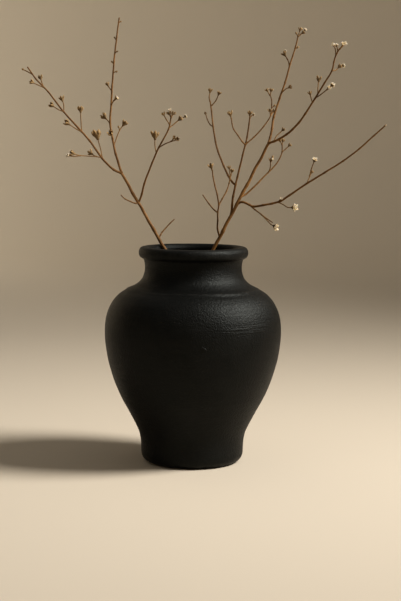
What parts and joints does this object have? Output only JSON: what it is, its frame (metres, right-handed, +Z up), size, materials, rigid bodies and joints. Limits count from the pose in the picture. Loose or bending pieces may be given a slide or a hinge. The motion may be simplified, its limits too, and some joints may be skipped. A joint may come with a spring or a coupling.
{
  "type": "clay pot",
  "caption": "Round-shouldered black clay pot with a narrow foot, a short neck and a rolled lip, holding two dry flower sprigs that lift out.",
  "frame": {"origin": "centre of the disc that the pot stands on", "axes": "+Z up along the pot's axis, -Y towards the viewer, +X to the viewer's right"},
  "size_m": [0.4171, 0.205, 0.5141],
  "materials": {
    "black_clay": "matte, smoke-fired, faintly burnished, with a grey sheen where light grazes it",
    "inside_clay": "matte, unburnished, with finger ridges",
    "stem_bark": "dry, smooth bark with lengthwise ribs",
    "twig_bark": "dry, matte bark",
    "seed_husk": "dry, brittle and matte",
    "dry_petal": "papery, thin and matte"
  },
  "bodies": {
    "pot": {"pot_floor": "inside_clay", "pot_foot": "black_clay", "pot_belly": "black_clay", "pot_shoulder": "black_clay", "pot_neck": "black_clay", "pot_rim": "black_clay"},
    "left_sprig": {"left_stem": "stem_bark", "left_outer_arm": "twig_bark", "left_middle_arm": "twig_bark", "left_inner_arm": "twig_bark", "left_bare_twigs": "twig_bark", "left_stalks": "twig_bark", "left_seed_heads": "seed_husk", "left_blossoms": "dry_petal"},
    "right_sprig": {"right_stem": "stem_bark", "right_low_twig": "twig_bark", "right_inner_arm": "twig_bark", "right_curved_arm": "twig_bark", "right_forked_twigs": "twig_bark", "right_drooping_arm": "twig_bark", "right_short_arm": "twig_bark", "right_outer_arm": "twig_bark", "right_top_arm": "twig_bark", "right_bare_twigs": "twig_bark", "right_stalks": "twig_bark", "right_seed_heads": "seed_husk", "right_blossoms": "dry_petal"}
  },
  "joints": [
    {"name": "left_sprig_lift", "type": "slide", "parent": "pot", "child": "left_sprig", "axis": [-0.4994, 0, 0.8664], "range_m": [0, 0.24]},
    {"name": "right_sprig_lift", "type": "slide", "parent": "pot", "child": "right_sprig", "axis": [0.4534, 0, 0.8913], "range_m": [0, 0.24]}
  ]
}
